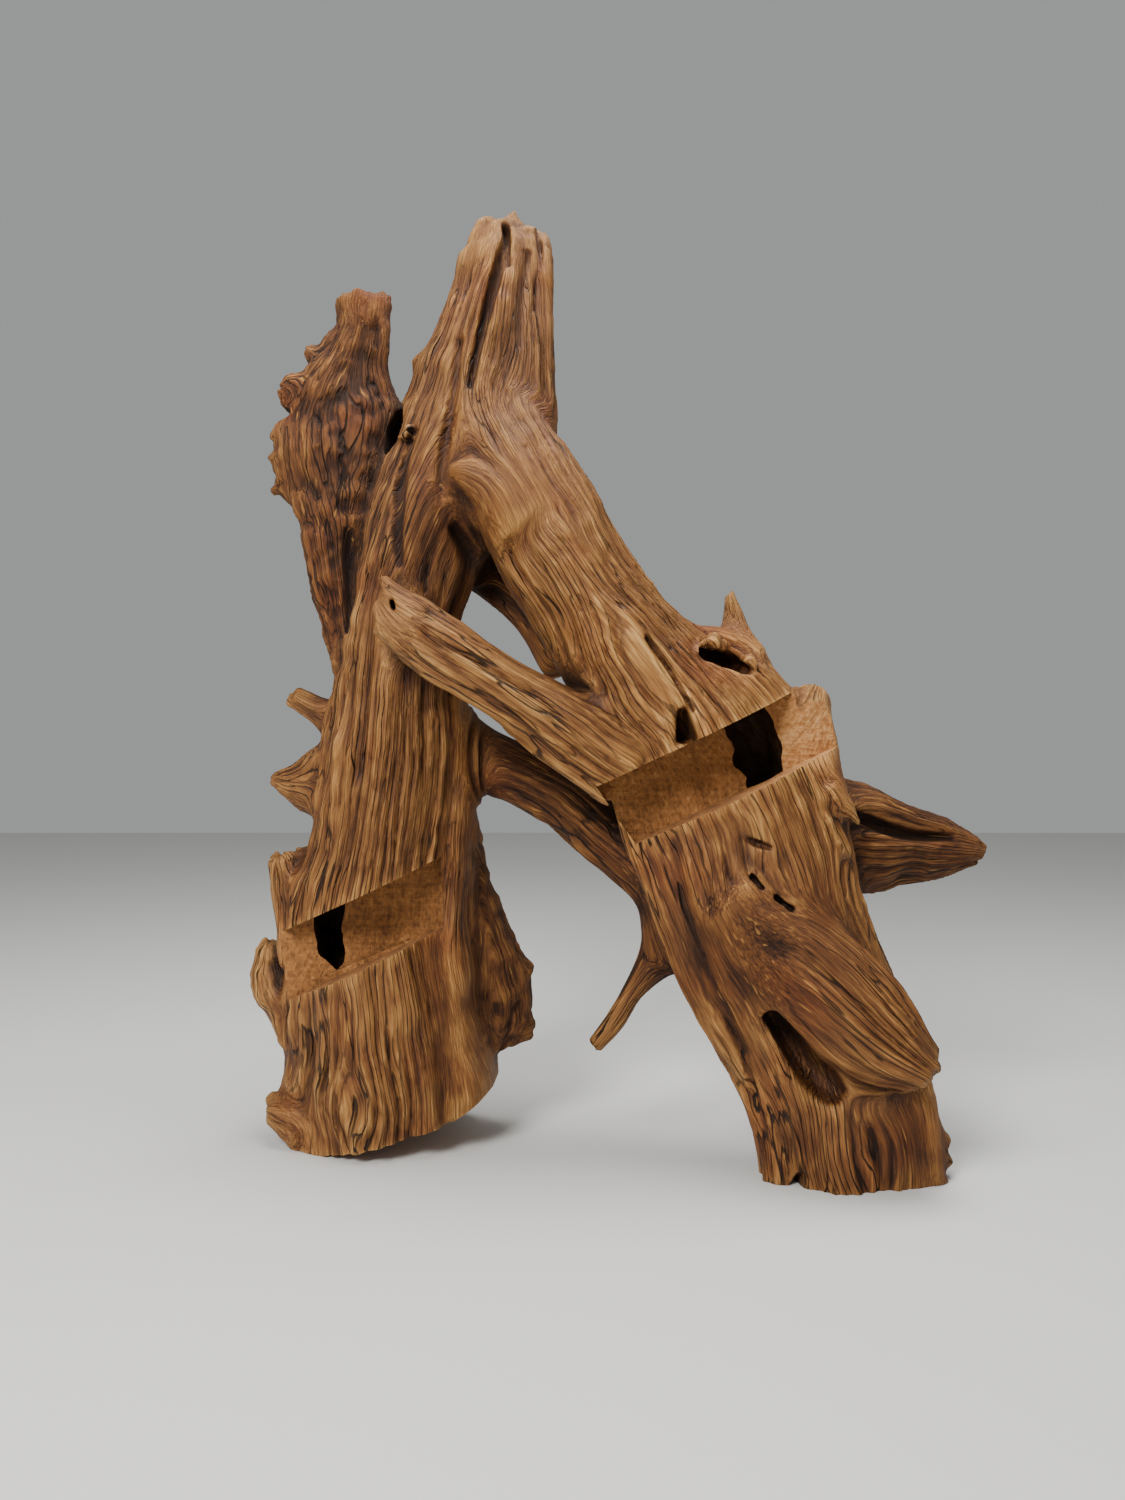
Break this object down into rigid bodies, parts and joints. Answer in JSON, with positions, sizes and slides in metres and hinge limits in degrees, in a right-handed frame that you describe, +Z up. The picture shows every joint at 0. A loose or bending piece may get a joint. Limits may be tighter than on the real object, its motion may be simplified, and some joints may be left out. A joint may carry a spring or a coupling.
{
  "type": "dry tree root",
  "caption": "Weathered dry tree root standing on two spread legs, with side limbs, hollows and two sawn notches along one slant.",
  "frame": {"origin": "on the floor under the middle of the root's box", "axes": "+Z up along its height; the face with the two notches looks along -Y; +X runs from the left leg towards the horn and the right leg"},
  "size_m": [1.2182, 0.5132, 1.506],
  "materials": {
    "root_wood": "oiled, satin"
  },
  "bodies": {
    "root": {"root": "root_wood"}
  },
  "joints": []
}
